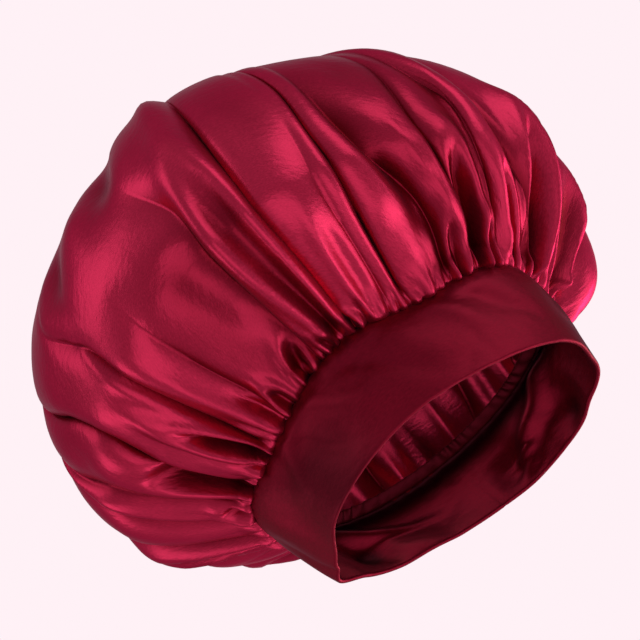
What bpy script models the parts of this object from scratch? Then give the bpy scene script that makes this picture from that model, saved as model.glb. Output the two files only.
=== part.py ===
"""Satin sleep bonnet: a puffed crown gathered onto a wide elastic band, opening down, metres, +Z up.

The origin is the centre of the gathering seam. The crown rises from it, the band hangs below it, the
long way of the opening lies along X, and the front faces -Y. Each piece is a closed cloth wall.
"""

import math
from collections import namedtuple

import bmesh
import bpy
from mathutils import Vector

# Driving dimensions
SEAM_HALF_LENGTH = 0.1024
SEAM_HALF_WIDTH = 0.0750
CROWN_CENTRE = Vector((-0.007, 0.0, 0.084))
CROWN_HALF_LENGTH = 0.169
CROWN_HALF_WIDTH = 0.162
CROWN_RISE = 0.144
CROWN_DROP = 0.118
CROWN_LENGTH = 0.37
BAND_WIDTH = 0.060
RIM_HALF_LENGTH = 0.091
RIM_HALF_WIDTH = 0.065
RIM_SHIFT = Vector((0.008, -0.006, 0.0))
CROWN_WALL = 0.0020
BAND_WALL = 0.0026
RUFFLE_WIDTH = 0.009
RUFFLE_WALL = 0.0012
RUFFLE_DROP = 0.0010
RUFFLE_TILT_DEGREES = 37
GAP = 0.0003

# How the crown is drawn, in shares of the way up from the seam to the top
TUCK_SHARE = 0.22
GATHER_SHARE = 0.05
SEAM_SHARPNESS = 0.15
CREASE_FADE = 0.60
CALM_SHARE = 0.40
HOLLOW_START_EASE = 0.30
HOLLOW_END_EASE = 0.45
PUCKER_SHARE = 0.085
PUCKER_SWING = 0.0020
MIDDLE_SHARE = 0.20
HIGH_SHARE = 0.45
COLUMN_DEGREES = 3.0
LEAST_COLUMNS = 3
CROWN_SHARES = (
    0.0, 0.012, 0.03, 0.055, 0.085, 0.12, 0.16, 0.20, 0.25, 0.30, 0.36, 0.42, 0.49, 0.57, 0.66, 0.76, 0.87,
)

# How the band and the seam allowance are drawn, in shares of their width
CORNER_PINCH = 0.12
BAND_BELLY = 0.0035
DENT_HALF_SHARE = 0.50
BAND_COLUMNS = 72
BAND_SHARES = (0.0, 0.12, 0.32, 0.55, 0.78, 0.95)
RUFFLE_WAVES = 38
RUFFLE_COLUMNS = 3 * RUFFLE_WAVES
RUFFLE_SHARES = (0.0, 0.55, 1.0)
RUFFLE_SWING = 0.0012

# Steps for measuring a surface's normal, and the distance at which vertices are one
NORMAL_DEGREES = 1.0
NORMAL_STEP = 0.002
MERGE = 1e-6
MM = 0.001

# The cloth's finishes
Finish = namedtuple("Finish", "name colour roughness metallic")
CROWN_FINISH = Finish("crown_satin", (0.36, 0.012, 0.038), 0.34, 0.35)
BAND_FINISH = Finish("band_satin", (0.16, 0.008, 0.020), 0.42, 0.30)
RUFFLE_FINISH = Finish("seam_allowance", (0.06, 0.003, 0.009), 0.60, 0.0)

# How far the seam runs above (+) or below (-) its level along the cloth, and the rim outside (+) its curve
LinePoint = namedtuple("LinePoint", "degrees shift_mm")
SEAM_LINE = (
    LinePoint(-175, -1),
    LinePoint(-132, -7),
    LinePoint(-88, 4),
    LinePoint(-66, -3),
    LinePoint(-32, 4),
    LinePoint(0, -3),
    LinePoint(45, -1),
    LinePoint(95, 2),
    LinePoint(140, -2),
)
RIM_LINE = (
    LinePoint(-165, -4),
    LinePoint(-140, 0),
    LinePoint(-90, 2),
    LinePoint(-60, 0),
    LinePoint(-25, 2),
    LinePoint(0, -1),
    LinePoint(25, 0),
    LinePoint(58, 4),
    LinePoint(112, -5),
    LinePoint(162, 3),
)

# Creases that part the crown's lobes: azimuth at the seam, at a fifth and near half of the way to the top,
# how far it reaches, its depth, then the height of the lobe that follows it and where that lobe's crest lies
Crease = namedtuple("Crease", "seam middle high reach depth_mm crest_mm crest_at")
CREASES = (
    Crease(-176, -170, -172, 0.42, 7, 0, 0.55),
    Crease(-161, -161, -165, 0.50, 7, 1, 0.60),
    Crease(-150, -142, -156, 0.62, 9, 3, 0.45),
    Crease(-132, -126, -133, 0.60, 7, 2, 0.45),
    Crease(-118, -116, -114, 0.40, 6, 1, 0.45),
    Crease(-98, -95, -101, 0.55, 8, 8, 0.60),
    Crease(-84, -83, -82, 0.75, 10, 2, 0.35),
    Crease(-72, -69, -69, 0.50, 4, 1, 0.50),
    Crease(-67, -66, -65, 0.70, 6, -1, 0.55),
    Crease(-51, -57, -60, 0.60, 9, -3, 0.55),
    Crease(-41, -44, -43, 0.60, 8, -3, 0.50),
    Crease(-30, -33, -34, 0.62, 7, 1, 0.50),
    Crease(-16, -25, -27, 0.62, 8, 3, 0.65),
    Crease(2, 3, 6, 0.50, 14, 14, 0.50),
    Crease(48, 46, 44, 0.60, 9, 4, 0.50),
    Crease(62, 60, 58, 0.55, 8, 2, 0.50),
    Crease(75, 77, 74, 0.62, 9, 1, 0.45),
    Crease(89, 90, 92, 0.50, 8, 3, 0.55),
    Crease(101, 104, 103, 0.65, 9, 1, 0.50),
    Crease(114, 117, 121, 0.55, 7, 2, 0.45),
    Crease(129, 131, 130, 0.60, 9, 2, 0.55),
    Crease(143, 146, 149, 0.50, 8, 0, 0.50),
    Crease(157, 160, 163, 0.60, 8, 2, 0.50),
    Crease(170, 175, 174, 0.55, 7, 1, 0.50),
)

# Hollows pressed into the lobes: azimuth at the lower and upper end, where they start and end on the way
# up, half their width and their depth
Hollow = namedtuple("Hollow", "low high start end half_degrees depth_mm")
HOLLOWS = (
    Hollow(-153, -151, 0.0, 0.14, 7, 13),
    Hollow(-138, -138, 0.0, 0.10, 4, 8),
    Hollow(-103, -101, 0.02, 0.24, 5, 7),
    Hollow(-89, -89, 0.0, 0.36, 4, 7),
    Hollow(-38, -39, 0.0, 0.19, 3, 6),
    Hollow(-10, -13, 0.05, 0.28, 5, 9),
    Hollow(22, 18, 0.02, 0.25, 8, 8),
    Hollow(96, 97, 0.0, 0.15, 4, 6),
    Hollow(136, 138, 0.0, 0.18, 4, 7),
)

# Soft dents in the band: azimuth, how far down, half width and depth, inward positive
Dent = namedtuple("Dent", "degrees share half_degrees depth_mm")
DENTS = (
    Dent(-118, 0.55, 26, 2.0),
    Dent(-70, 0.45, 22, -1.5),
    Dent(38, 0.55, 24, -3.0),
    Dent(72, 0.60, 18, 4.0),
    Dent(108, 0.40, 20, -2.5),
    Dent(146, 0.55, 18, 3.0),
)


def smooth_step(value):
    """Ease from 0 to 1."""
    clamped = min(max(value, 0.0), 1.0)
    return clamped * clamped * (3.0 - 2.0 * clamped)


def turn_between(first, second):
    """The signed turn in degrees from the first azimuth to the second, the short way round."""
    return (second - first + 180.0) % 360.0 - 180.0


def line_shift(line, degrees):
    """A line's shift at an azimuth, in metres, eased between the rows of its table."""
    for index, start in enumerate(line):
        end = line[(index + 1) % len(line)]
        span = (end.degrees - start.degrees) % 360.0
        offset = (degrees - start.degrees) % 360.0
        if offset < span:
            blend = smooth_step(offset / span)
            return MM * (start.shift_mm + blend * (end.shift_mm - start.shift_mm))
    return 0.0


def crown_form(degrees, share):
    """A point of the smooth crown: share 0 is the seam's level and 1 the top."""
    azimuth = math.radians(degrees)
    tuck_angle = math.pi - math.acos(CROWN_CENTRE.z / CROWN_DROP)
    polar = tuck_angle * (1.0 - share)
    height = CROWN_RISE if polar < math.pi / 2 else CROWN_DROP
    point = CROWN_CENTRE + Vector((
        CROWN_HALF_LENGTH * math.sin(polar) * math.cos(azimuth),
        CROWN_HALF_WIDTH * math.sin(polar) * math.sin(azimuth),
        height * math.cos(polar),
    ))
    tuck = 1.0 - smooth_step(share / TUCK_SHARE)
    edge = CROWN_CENTRE + Vector((
        CROWN_HALF_LENGTH * math.sin(tuck_angle) * math.cos(azimuth),
        CROWN_HALF_WIDTH * math.sin(tuck_angle) * math.sin(azimuth),
        0.0,
    ))
    point.x += tuck * (SEAM_HALF_LENGTH * math.cos(azimuth) - edge.x)
    point.y += tuck * (SEAM_HALF_WIDTH * math.sin(azimuth) - edge.y)
    return point


def seam_point(degrees):
    """A point of the wandering seam line."""
    return crown_form(degrees, line_shift(SEAM_LINE, degrees) / CROWN_LENGTH)


def crown_frame(degrees, share):
    """The smooth crown's point and outward normal, from the wandering seam line up."""
    start = line_shift(SEAM_LINE, degrees) / CROWN_LENGTH
    along = start + (1.0 - start) * share
    across = crown_form(degrees + NORMAL_DEGREES, along) - crown_form(degrees - NORMAL_DEGREES, along)
    upward = crown_form(degrees, along + NORMAL_STEP) - crown_form(degrees, along - NORMAL_STEP)
    return crown_form(degrees, along), across.cross(upward).normalized()


def crease_azimuth(crease, share):
    """A crease's azimuth on its way up: a smooth curve through the three values of its row."""
    if share >= HIGH_SHARE:
        return crease.high
    low_slope = (crease.middle - crease.seam) / MIDDLE_SHARE
    middle_slope = (crease.high - crease.seam) / HIGH_SHARE
    if share < MIDDLE_SHARE:
        start, end, span = crease.seam, crease.middle, MIDDLE_SHARE
        slopes, blend = (low_slope, middle_slope), share / MIDDLE_SHARE
    else:
        start, end, span = crease.middle, crease.high, HIGH_SHARE - MIDDLE_SHARE
        slopes, blend = (middle_slope, 0.0), (share - MIDDLE_SHARE) / span
    rise = blend * blend * (3.0 - 2.0 * blend)
    leave = blend * (1.0 - blend) ** 2 * span * slopes[0]
    arrive = blend * blend * (blend - 1.0) * span * slopes[1]
    return start + rise * (end - start) + leave + arrive


def hollow_depth(degrees, share):
    """How far the hollows press the crown in, in millimetres."""
    depth = 0.0
    for hollow in HOLLOWS:
        blend = (share - hollow.start) / (hollow.end - hollow.start)
        if not 0.0 < blend < 1.0:
            continue
        middle = hollow.low + blend * (hollow.high - hollow.low)
        offset = turn_between(middle, degrees) / hollow.half_degrees
        if abs(offset) < 1.0:
            length = smooth_step(blend / HOLLOW_START_EASE) * smooth_step((1.0 - blend) / HOLLOW_END_EASE)
            depth += hollow.depth_mm * (1.0 - offset * offset) ** 2 * length
    return depth


def fold_height(lobe, part, share):
    """The folds' height above the smooth crown in metres, a part of the way across a lobe."""
    crease, following = CREASES[lobe], CREASES[(lobe + 1) % len(CREASES)]
    previous = CREASES[lobe - 1]
    gather = smooth_step(share / GATHER_SHARE)
    calm = smooth_step((1.0 - share) / CALM_SHARE)
    crest = crease.crest_mm * gather * calm
    opening = SEAM_SHARPNESS + (1.0 - SEAM_SHARPNESS) * gather
    depths = []
    for edge, before, after in ((crease, previous, crease), (following, crease, following)):
        level = 0.5 * (before.crest_mm + after.crest_mm) * gather * calm
        sharpness = opening * smooth_step((edge.reach - share) / (CREASE_FADE * edge.reach))
        depths.append(level + sharpness * (-edge.depth_mm - level))
    if part < crease.crest_at:
        depth, across = depths[0], part / crease.crest_at
    else:
        depth, across = depths[1], (1.0 - part) / (1.0 - crease.crest_at)
    return MM * (crest - (crest - depth) * (1.0 - across) ** 2)


def crown_columns():
    """The columns that cover the crown: a lobe, a part of the way across it, and a pucker up or down."""
    columns = []
    for lobe, crease in enumerate(CREASES):
        following = CREASES[(lobe + 1) % len(CREASES)]
        count = max(LEAST_COLUMNS, round((following.middle - crease.middle) % 360.0 / COLUMN_DEGREES))
        for step in range(count):
            pucker = -1 if len(columns) % 2 == 0 else 1
            columns.append((lobe, 0.5 - 0.5 * math.cos(math.pi * step / count), pucker))
    return columns


def crown_point(column, share, inset):
    """A point of the folded crown, set in from its outer face."""
    lobe, part, pucker = column
    crease, following = CREASES[lobe], CREASES[(lobe + 1) % len(CREASES)]
    start = crease_azimuth(crease, share)
    degrees = start + part * ((crease_azimuth(following, share) - start) % 360.0)
    point, normal = crown_frame(degrees, share)
    height = fold_height(lobe, part, share) - MM * hollow_depth(degrees, share)
    if share < PUCKER_SHARE:
        height += pucker * PUCKER_SWING * math.sin(math.pi * share / PUCKER_SHARE)
    return point + (height - inset) * normal


def band_dent(degrees, share):
    """How far the band's dents press it in at an azimuth and a share of the way down, in metres."""
    depth = 0.0
    for dent in DENTS:
        offset = turn_between(dent.degrees, degrees) / dent.half_degrees
        height = (share - dent.share) / DENT_HALF_SHARE
        if abs(offset) < 1.0 and abs(height) < 1.0:
            depth += dent.depth_mm * ((1.0 - offset * offset) * (1.0 - height * height)) ** 2
    return MM * depth


def rim_point(degrees):
    """A point of the band's free edge, whose two ends are pinched to soft corners."""
    azimuth = math.radians(degrees)
    shift = line_shift(RIM_LINE, degrees)
    across = math.copysign(abs(math.sin(azimuth)) ** (1.0 + CORNER_PINCH), math.sin(azimuth))
    return RIM_SHIFT + Vector((
        (RIM_HALF_LENGTH + shift) * math.cos(azimuth),
        (RIM_HALF_WIDTH + shift) * across,
        -BAND_WIDTH,
    ))


def band_middle(degrees, share):
    """A point of the band's middle surface: share 0 is the seam and 1 the rim."""
    top = seam_point(degrees) - Vector((0.0, 0.0, GAP))
    point = top.lerp(rim_point(degrees), share)
    outward = Vector((math.cos(math.radians(degrees)), math.sin(math.radians(degrees)), 0.0))
    belly = BAND_BELLY * math.sin(math.pi * share)
    return point + (belly - band_dent(degrees, share)) * outward


def band_point(degrees, share, side):
    """A point of the band's outer (side 1) or inner (side -1) face."""
    above, below = max(share - NORMAL_STEP, 0.0), min(share + NORMAL_STEP, 1.0)
    across = band_middle(degrees + NORMAL_DEGREES, share) - band_middle(degrees - NORMAL_DEGREES, share)
    down = band_middle(degrees, below) - band_middle(degrees, above)
    normal = down.cross(across).normalized()
    return band_middle(degrees, share) + 0.5 * BAND_WALL * side * normal


def ruffle_point(degrees, share, side):
    """A point of the seam allowance, a narrow ruffled strip that stands in from the seam."""
    seam = seam_point(degrees)
    inward = -Vector((seam.x, seam.y, 0.0)).normalized()
    tilt = math.radians(RUFFLE_TILT_DEGREES)
    slope = math.cos(tilt) * inward + Vector((0.0, 0.0, math.sin(tilt)))
    normal = math.cos(tilt) * Vector((0.0, 0.0, 1.0)) - math.sin(tilt) * inward
    clearance = 0.5 * (BAND_WALL + RUFFLE_WALL) + GAP
    root = seam + clearance * inward - Vector((0.0, 0.0, RUFFLE_DROP))
    swing = RUFFLE_SWING * math.cos(math.radians(degrees * RUFFLE_WAVES)) * share
    return root + share * RUFFLE_WIDTH * slope + (swing + 0.5 * side * RUFFLE_WALL) * normal


def round_sheet(columns, rows, place):
    """A grid wrapped round to meet itself, with each vertex placed by its column and row."""
    mesh = bmesh.new()
    bmesh.ops.create_grid(mesh, x_segments=columns, y_segments=rows - 1, size=1.0)
    for index, vertex in enumerate(mesh.verts):
        row, column = divmod(index, columns + 1)
        vertex.co = place(column % columns, row)
    bmesh.ops.remove_doubles(mesh, verts=mesh.verts, dist=MERGE)
    return mesh


def finish_piece(name, mesh, material):
    """Turn a bmesh into a named, smoothly shaded object."""
    bmesh.ops.recalc_face_normals(mesh, faces=mesh.faces)
    bmesh.ops.triangulate(mesh, faces=mesh.faces)
    data = bpy.data.meshes.new(name)
    mesh.to_mesh(data)
    mesh.free()
    data.shade_smooth()
    data.materials.append(material)
    piece = bpy.data.objects.new(name, data)
    bpy.context.scene.collection.objects.link(piece)
    return piece


def satin(finish):
    """A satin finish: a Principled material with the cloth's colour and gloss."""
    material = bpy.data.materials.new(finish.name)
    material.use_nodes = True
    shader = material.node_tree.nodes["Principled BSDF"]
    shader.inputs["Base Color"].default_value = (*finish.colour, 1.0)
    shader.inputs["Roughness"].default_value = finish.roughness
    shader.inputs["Metallic"].default_value = finish.metallic
    return material


def build_crown(material):
    """The gathered crown: down its inner face from the top to the seam, then up its outer face."""
    columns = crown_columns()
    top = CROWN_CENTRE + Vector((0.0, 0.0, CROWN_RISE))
    rows = [(share, CROWN_WALL) for share in reversed(CROWN_SHARES)]
    rows += [(share, 0.0) for share in CROWN_SHARES]

    def place(column, row):
        if row == 0:
            return top - Vector((0.0, 0.0, CROWN_WALL))
        if row > len(rows):
            return top
        return crown_point(columns[column], *rows[row - 1])

    return finish_piece("crown", round_sheet(len(columns), len(rows) + 2, place), material)


def build_band(material):
    """The elastic band: two faces joined by a rounded rim below and a plain edge at the seam."""
    rows = [(share, 1) for share in BAND_SHARES] + [(1.0, 0)]
    rows += [(share, -1) for share in reversed(BAND_SHARES)]

    def place(column, row):
        return band_point(360.0 * column / BAND_COLUMNS, *rows[row % len(rows)])

    return finish_piece("band", round_sheet(BAND_COLUMNS, len(rows) + 1, place), material)


def build_ruffle(material):
    """The ruffled seam allowance inside the gathering seam."""
    rows = [(share, 1) for share in RUFFLE_SHARES]
    rows += [(share, -1) for share in reversed(RUFFLE_SHARES)]

    def place(column, row):
        return ruffle_point(360.0 * column / RUFFLE_COLUMNS, *rows[row % len(rows)])

    return finish_piece("seam_ruffle", round_sheet(RUFFLE_COLUMNS, len(rows) + 1, place), material)


def main():
    """Clear the scene and build the three pieces."""
    for leftover in list(bpy.data.objects):
        bpy.data.objects.remove(leftover)
    build_crown(satin(CROWN_FINISH))
    build_band(satin(BAND_FINISH))
    build_ruffle(satin(RUFFLE_FINISH))


main()
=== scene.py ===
"""Looks of a satin sleep bonnet: a puffed crown gathered onto a wide elastic band, opening down.

Everything is in metres in the frame's own axes: the origin is the centre of the gathering seam, the
crown rises along +Z, the long way of the opening lies along X and the front faces -Y. Azimuths are in
degrees round +Z from +X, and shares run from the seam (0) to the top of the crown or the band's rim (1).
"""

import logging
import math
from dataclasses import dataclass
from enum import Enum
from typing import Callable, NamedTuple

import bmesh
import bpy
import numpy as np
from mathutils import Matrix, Vector


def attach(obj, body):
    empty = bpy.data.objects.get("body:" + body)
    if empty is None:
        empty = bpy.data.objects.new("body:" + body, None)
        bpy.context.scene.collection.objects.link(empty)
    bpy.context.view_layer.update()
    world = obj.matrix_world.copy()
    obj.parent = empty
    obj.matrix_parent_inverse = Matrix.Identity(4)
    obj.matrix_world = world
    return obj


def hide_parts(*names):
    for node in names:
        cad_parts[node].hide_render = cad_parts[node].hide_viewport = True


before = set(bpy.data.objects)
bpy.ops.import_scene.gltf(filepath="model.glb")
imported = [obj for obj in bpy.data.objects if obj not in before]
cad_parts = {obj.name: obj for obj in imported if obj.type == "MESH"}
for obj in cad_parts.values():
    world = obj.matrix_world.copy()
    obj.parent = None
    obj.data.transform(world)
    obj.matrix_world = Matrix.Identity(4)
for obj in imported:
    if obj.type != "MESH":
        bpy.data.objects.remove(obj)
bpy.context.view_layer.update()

MM = 0.001
FULL_TURN = 360.0
HALF_TURN = 180.0
TURN_STEP = 1.0  # degrees to each side of a vertex, between which the cloth's way round is measured
SEED = 20
MERGE = 1e-6
TINY = 1e-12
log = logging.getLogger("bonnet")


class Hold(Enum):
    """How a sheet of cloth is held."""

    GATHERED = "gathered"
    STRETCHED = "stretched"


# ---------------------------------------------------------------- tables read off the bonnet's folds


class LinePoint(NamedTuple):
    """A line's shift at an azimuth: the seam's up the cloth, or the rim's outwards."""

    degrees: float
    shift_mm: float


class Crease(NamedTuple):
    """A crease between two lobes, and the lobe that follows it.

    path holds its azimuths at CREASE_HEIGHTS. reach is the share where it has faded. crest_mm is the
    height of the following lobe, crest_at the part of the way across where it is highest, and lean_mm how
    far that lobe rolls over this crease (+) or over the next one (-).
    """

    path: tuple[float, ...]
    reach: float
    depth_mm: float
    crest_mm: float
    crest_at: float
    lean_mm: float


class Fold(NamedTuple):
    """A long fold along the cloth: a ridge, or a hollow where its height is negative.

    low, middle and high are its azimuths at the shares where it starts, is half way and ends.
    """

    low: float
    middle: float
    high: float
    start: float
    end: float
    half_degrees: float
    height_mm: float


class Loop(NamedTuple):
    """A pocket below a rounded hairpin of raised cloth, open towards the seam.

    foot and top are its azimuths at the shares where it starts and ends.
    """

    foot: float
    top: float
    start: float
    end: float
    half_degrees: float
    pocket_mm: float
    ridge_mm: float


class Dent(NamedTuple):
    """A soft round dent: its middle, half width and half height, and its depth, inward positive."""

    degrees: float
    share: float
    half_degrees: float
    half_share: float
    depth_mm: float


class Gathers(NamedTuple):
    """Gathers that the seam draws in: how many, how high, how far up the cloth, and their seed."""

    count: int
    least_mm: float
    most_mm: float
    near_share: float
    far_share: float
    seed: int


class Swells(NamedTuple):
    """Soft swells of the crown's cloth: how many, and the ranges that each one's sizes come from.

    aspect is how many times longer they are than wide, and steepness their height over their width.
    """

    count: int = 420
    share: tuple[float, float] = (0.03, 0.92)
    half_mm: tuple[float, float] = (4.0, 13.0)
    aspect: tuple[float, float] = (1.4, 4.5)
    slant: tuple[float, float] = (-0.45, 0.45)
    steepness: float = 0.11
    seed: int = SEED + 3


class Wrinkles(NamedTuple):
    """Small wrinkles of the band's cloth: how many, and the ranges that each one's sizes come from."""

    count: int = 46
    share: tuple[float, float] = (0.0, 0.9)
    slant_degrees: tuple[float, float] = (-14.0, 14.0)
    half_share: tuple[float, float] = (0.16, 0.45)
    half_degrees: tuple[float, float] = (2.0, 4.5)
    height_mm: tuple[float, float] = (-0.45, 0.45)
    seed: int = SEED + 1


SMALL_GATHERS = Gathers(92, 1.8, 6.0, 0.018, 0.075, SEED)
WIDE_GATHERS = Gathers(40, 2.5, 8.0, 0.10, 0.36, SEED + 2)

# A gather's width is the first of these plus the second times its size, before all are fitted round.
GATHER_WIDTHS = (0.4, 1.9)

# Gathers lean to one side and the other going up: degrees for the whole way up, and waves all round.
GATHER_WANDER = ((18.0, 5), (14.0, 11))

# Gathers start at this share below the seam, rise over this one, and fade over this part of their reach.
GATHER_START = 0.014
GATHER_RISE = 0.022
GATHER_FADE = 0.8

# A fold rises and fades over these parts of its length.
FOLD_RISE = 0.18
FOLD_FADE = 0.5

# A loop rises from the seam and widens over these parts of its length, from this part of its width, and
# its arch starts at this part. Its hairpin runs this far from its middle and is this soft, in half widths.
LOOP_RISE = 0.12
LOOP_WIDENS = 0.5
LOOP_FOOT = 0.55
LOOP_ARCH = 0.62
HAIRPIN_AT = 1.40
HAIRPIN_SOFT = 0.60

# Brings the curve x * (1 - x) ** 2 to a height of one.
HUMP = 6.75

# A hollow this deep gets full painted shade, and a dent takes this much painted shade for each millimetre.
DEEP_MM = 9.0
DENT_SHADE = 0.09

# The creases' azimuths are given at these shares, and the columns are shared out at the one numbered here.
CREASE_HEIGHTS = (0.0, 0.10, 0.20, 0.30, 0.45)
SHARED_OUT_AT = 2

SEAM_LINE = (
    LinePoint(-175, -1), LinePoint(-132, -7), LinePoint(-88, 4), LinePoint(-66, -3), LinePoint(-32, 4),
    LinePoint(0, -3), LinePoint(45, -1), LinePoint(95, 2), LinePoint(140, -2),
)

RIM_LINE = (
    LinePoint(-165, -4), LinePoint(-140, 0), LinePoint(-90, 2), LinePoint(-60, 0), LinePoint(-25, 2),
    LinePoint(0, -1), LinePoint(22, 3), LinePoint(40, 1), LinePoint(58, 4), LinePoint(112, -4),
    LinePoint(154, 1), LinePoint(167, 6), LinePoint(179, -1),
)

CREASES = (
    Crease((-176, -174, -168.5, -166, -171), 0.44, 8, 0, 0.55, 0),
    Crease((-161, -161, -161, -164, -168), 0.50, 8, 1, 0.60, -3),
    Crease((-150, -147.5, -143, -145.5, -157), 0.62, 11, 3, 0.40, 3),
    Crease((-132, -128, -126.5, -127, -135), 0.60, 6, 2, 0.30, 2),
    Crease((-118, -117.5, -116, -115, -114), 0.32, 5, 1, 0.45, 0),
    Crease((-98, -97, -96, -95.5, -101), 0.52, 7, 7, 0.62, 2),
    Crease((-84, -83, -83, -83, -82.5), 0.78, 9, 3, 0.22, 5),
    Crease((-72.5, -72, -71, -70, -69.5), 0.45, 3, 0, 0.50, 0),
    Crease((-67, -67.5, -66, -66.3, -65), 0.70, 9, -1, 0.40, 3),
    Crease((-51, -51, -57, -60, -61), 0.60, 10, -3, 0.60, -2),
    Crease((-41, -42, -44.5, -45, -43), 0.60, 9, -3, 0.40, 2),
    Crease((-30, -31, -32.5, -33.3, -38), 0.62, 8, 1, 0.35, 2),
    Crease((-14, -16.5, -23.5, -27, -29.5), 0.62, 9, 3, 0.80, -2),
    Crease((-1, -2, -4, -5, -6), 0.52, 24, 7, 0.82, 0),
    Crease((14, 13, 14, 16, 18), 0.34, 13, 6, 0.50, 0),
    Crease((35, 35, 35, 35, 36), 0.40, 8, 5, 0.50, 0),
    Crease((48, 47, 46, 45, 44), 0.60, 9, 4, 0.40, 2),
    Crease((62, 61, 60, 59, 58), 0.55, 8, 2, 0.50, 0),
    Crease((75, 76, 77, 76, 74), 0.62, 10, 1, 0.35, 3),
    Crease((89, 89, 90, 91, 92), 0.50, 8, 3, 0.60, -2),
    Crease((101, 103, 104, 104, 103), 0.65, 10, 1, 0.40, 2),
    Crease((114, 115, 117, 119, 121), 0.55, 8, 2, 0.50, 0),
    Crease((129, 130, 131, 131, 130), 0.60, 10, 2, 0.60, -3),
    Crease((143, 144, 146, 148, 149), 0.50, 8, 0, 0.45, 2),
    Crease((157, 158, 160, 162, 163), 0.60, 9, 2, 0.50, 0),
    Crease((170, 173, 175, 175, 174), 0.55, 8, 1, 0.45, 2),
)

LOOPS = (
    Loop(-153, -151.5, -0.03, 0.150, 5.2, 17, 3.0),
    Loop(-135, -134.5, -0.03, 0.120, 2.0, 9.5, 5.5),
    Loop(-115, -114.5, -0.02, 0.044, 2.2, 5.5, 4.0),
    Loop(-105, -101.0, -0.012, 0.055, 3.0, 4.5, 2.6),
    Loop(-168, -167, -0.01, 0.045, 3.2, 4.0, 3.0),
    Loop(-89, -89.3, 0.0, 0.330, 3.1, 7, 4.8),
    Loop(-93, -93, -0.004, 0.034, 1.3, 3.2, 3.0),
    Loop(-84, -84, -0.004, 0.034, 1.3, 3.2, 3.0),
    Loop(-77, -75.5, 0.0, 0.15, 2.4, 1.5, 1.2),
    Loop(-59, -60, -0.01, 0.115, 5.0, -2.5, 2.2),
    Loop(-46.5, -46, -0.01, 0.085, 2.2, 4.0, 2.6),
    Loop(-38, -39.5, -0.01, 0.185, 2.3, 8, 3.6),
    Loop(-34, -34, -0.01, 0.066, 2.1, 3.5, 4.0),
    Loop(-22, -26.5, 0.0, 0.160, 2.6, 8, 0.0),
    Loop(-11, -15.5, 0.0, 0.265, 3.0, 11, 7.0),
    Loop(8, 6, -0.02, 0.280, 5.0, 9, 0.0),
    Loop(11, 11, 0.0, 0.050, 2.4, 4.0, 2.4),
    Loop(57, 56, 0.0, 0.16, 3.0, 6, 2.0),
    Loop(112, 112, 0.0, 0.14, 3.0, 5, 2.0),
    Loop(137, 139, 0.0, 0.20, 3.6, 8, 2.0),
    Loop(165, 167, 0.0, 0.22, 3.4, 7, 2.0),
)

FOLDS = (
    Fold(-141.5, -141, -138.5, -0.04, 0.12, 2.6, 5.5),
    Fold(-132.0, -129, -128, -0.02, 0.46, 1.0, 2.8),
    Fold(-125, -123.5, -123, -0.02, 0.24, 2.0, 4.0),
    Fold(-127.5, -127, -126.5, -0.02, 0.10, 0.8, -3.0),
    Fold(-121, -120.5, -120, -0.02, 0.10, 1.3, -5.0),
    Fold(-101, -101, -101, 0.08, 0.28, 4.0, -5.0),
    Fold(-96, -94.5, -92.5, 0.0, 0.42, 2.2, 4.0),
    Fold(-79, -78, -74, 0.03, 0.20, 1.8, 2.4),
    Fold(-53, -55.5, -58, 0.06, 0.32, 2.4, -5.0),
    Fold(-48, -50, -52, 0.13, 0.30, 1.3, 2.2),
    Fold(-45, -46, -48, 0.02, 0.30, 2.2, 3.0),
    Fold(-31.2, -33.2, -35.5, 0.03, 0.46, 0.9, 3.0),
    Fold(-25, -28, -30, 0.01, 0.21, 1.3, 3.0),
    Fold(-17, -22, -28.5, 0.03, 0.40, 1.0, 3.0),
    Fold(30, 31, 33, 0.0, 0.40, 2.5, 2.0),
    Fold(38, 37, 36, 0.05, 0.45, 1.4, -2.0),
    Fold(58, 59, 61, -0.01, 0.50, 1.6, -4.0),
    Fold(66, 66, 65, -0.01, 0.48, 1.5, 4.0),
    Fold(71.5, 70.5, 69, -0.01, 0.55, 1.5, -5.5),
    Fold(80, 80, 81, -0.01, 0.42, 1.4, -4.5),
    Fold(85, 84.5, 83, -0.01, 0.52, 1.3, 4.0),
    Fold(95, 94, 93, -0.01, 0.50, 1.5, -5.0),
    Fold(98.5, 98.5, 98, -0.01, 0.46, 1.1, 3.5),
    Fold(101, 102, 104, -0.01, 0.55, 1.3, -5.5),
    Fold(107, 108, 110, -0.01, 0.48, 1.6, 4.0),
    Fold(118, 118, 119, -0.01, 0.46, 1.5, -4.5),
    Fold(124, 124, 126, -0.01, 0.40, 1.5, 3.0),
    Fold(-172, -166, -163, 0.03, 0.30, 1.5, 1.6),
)

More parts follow.
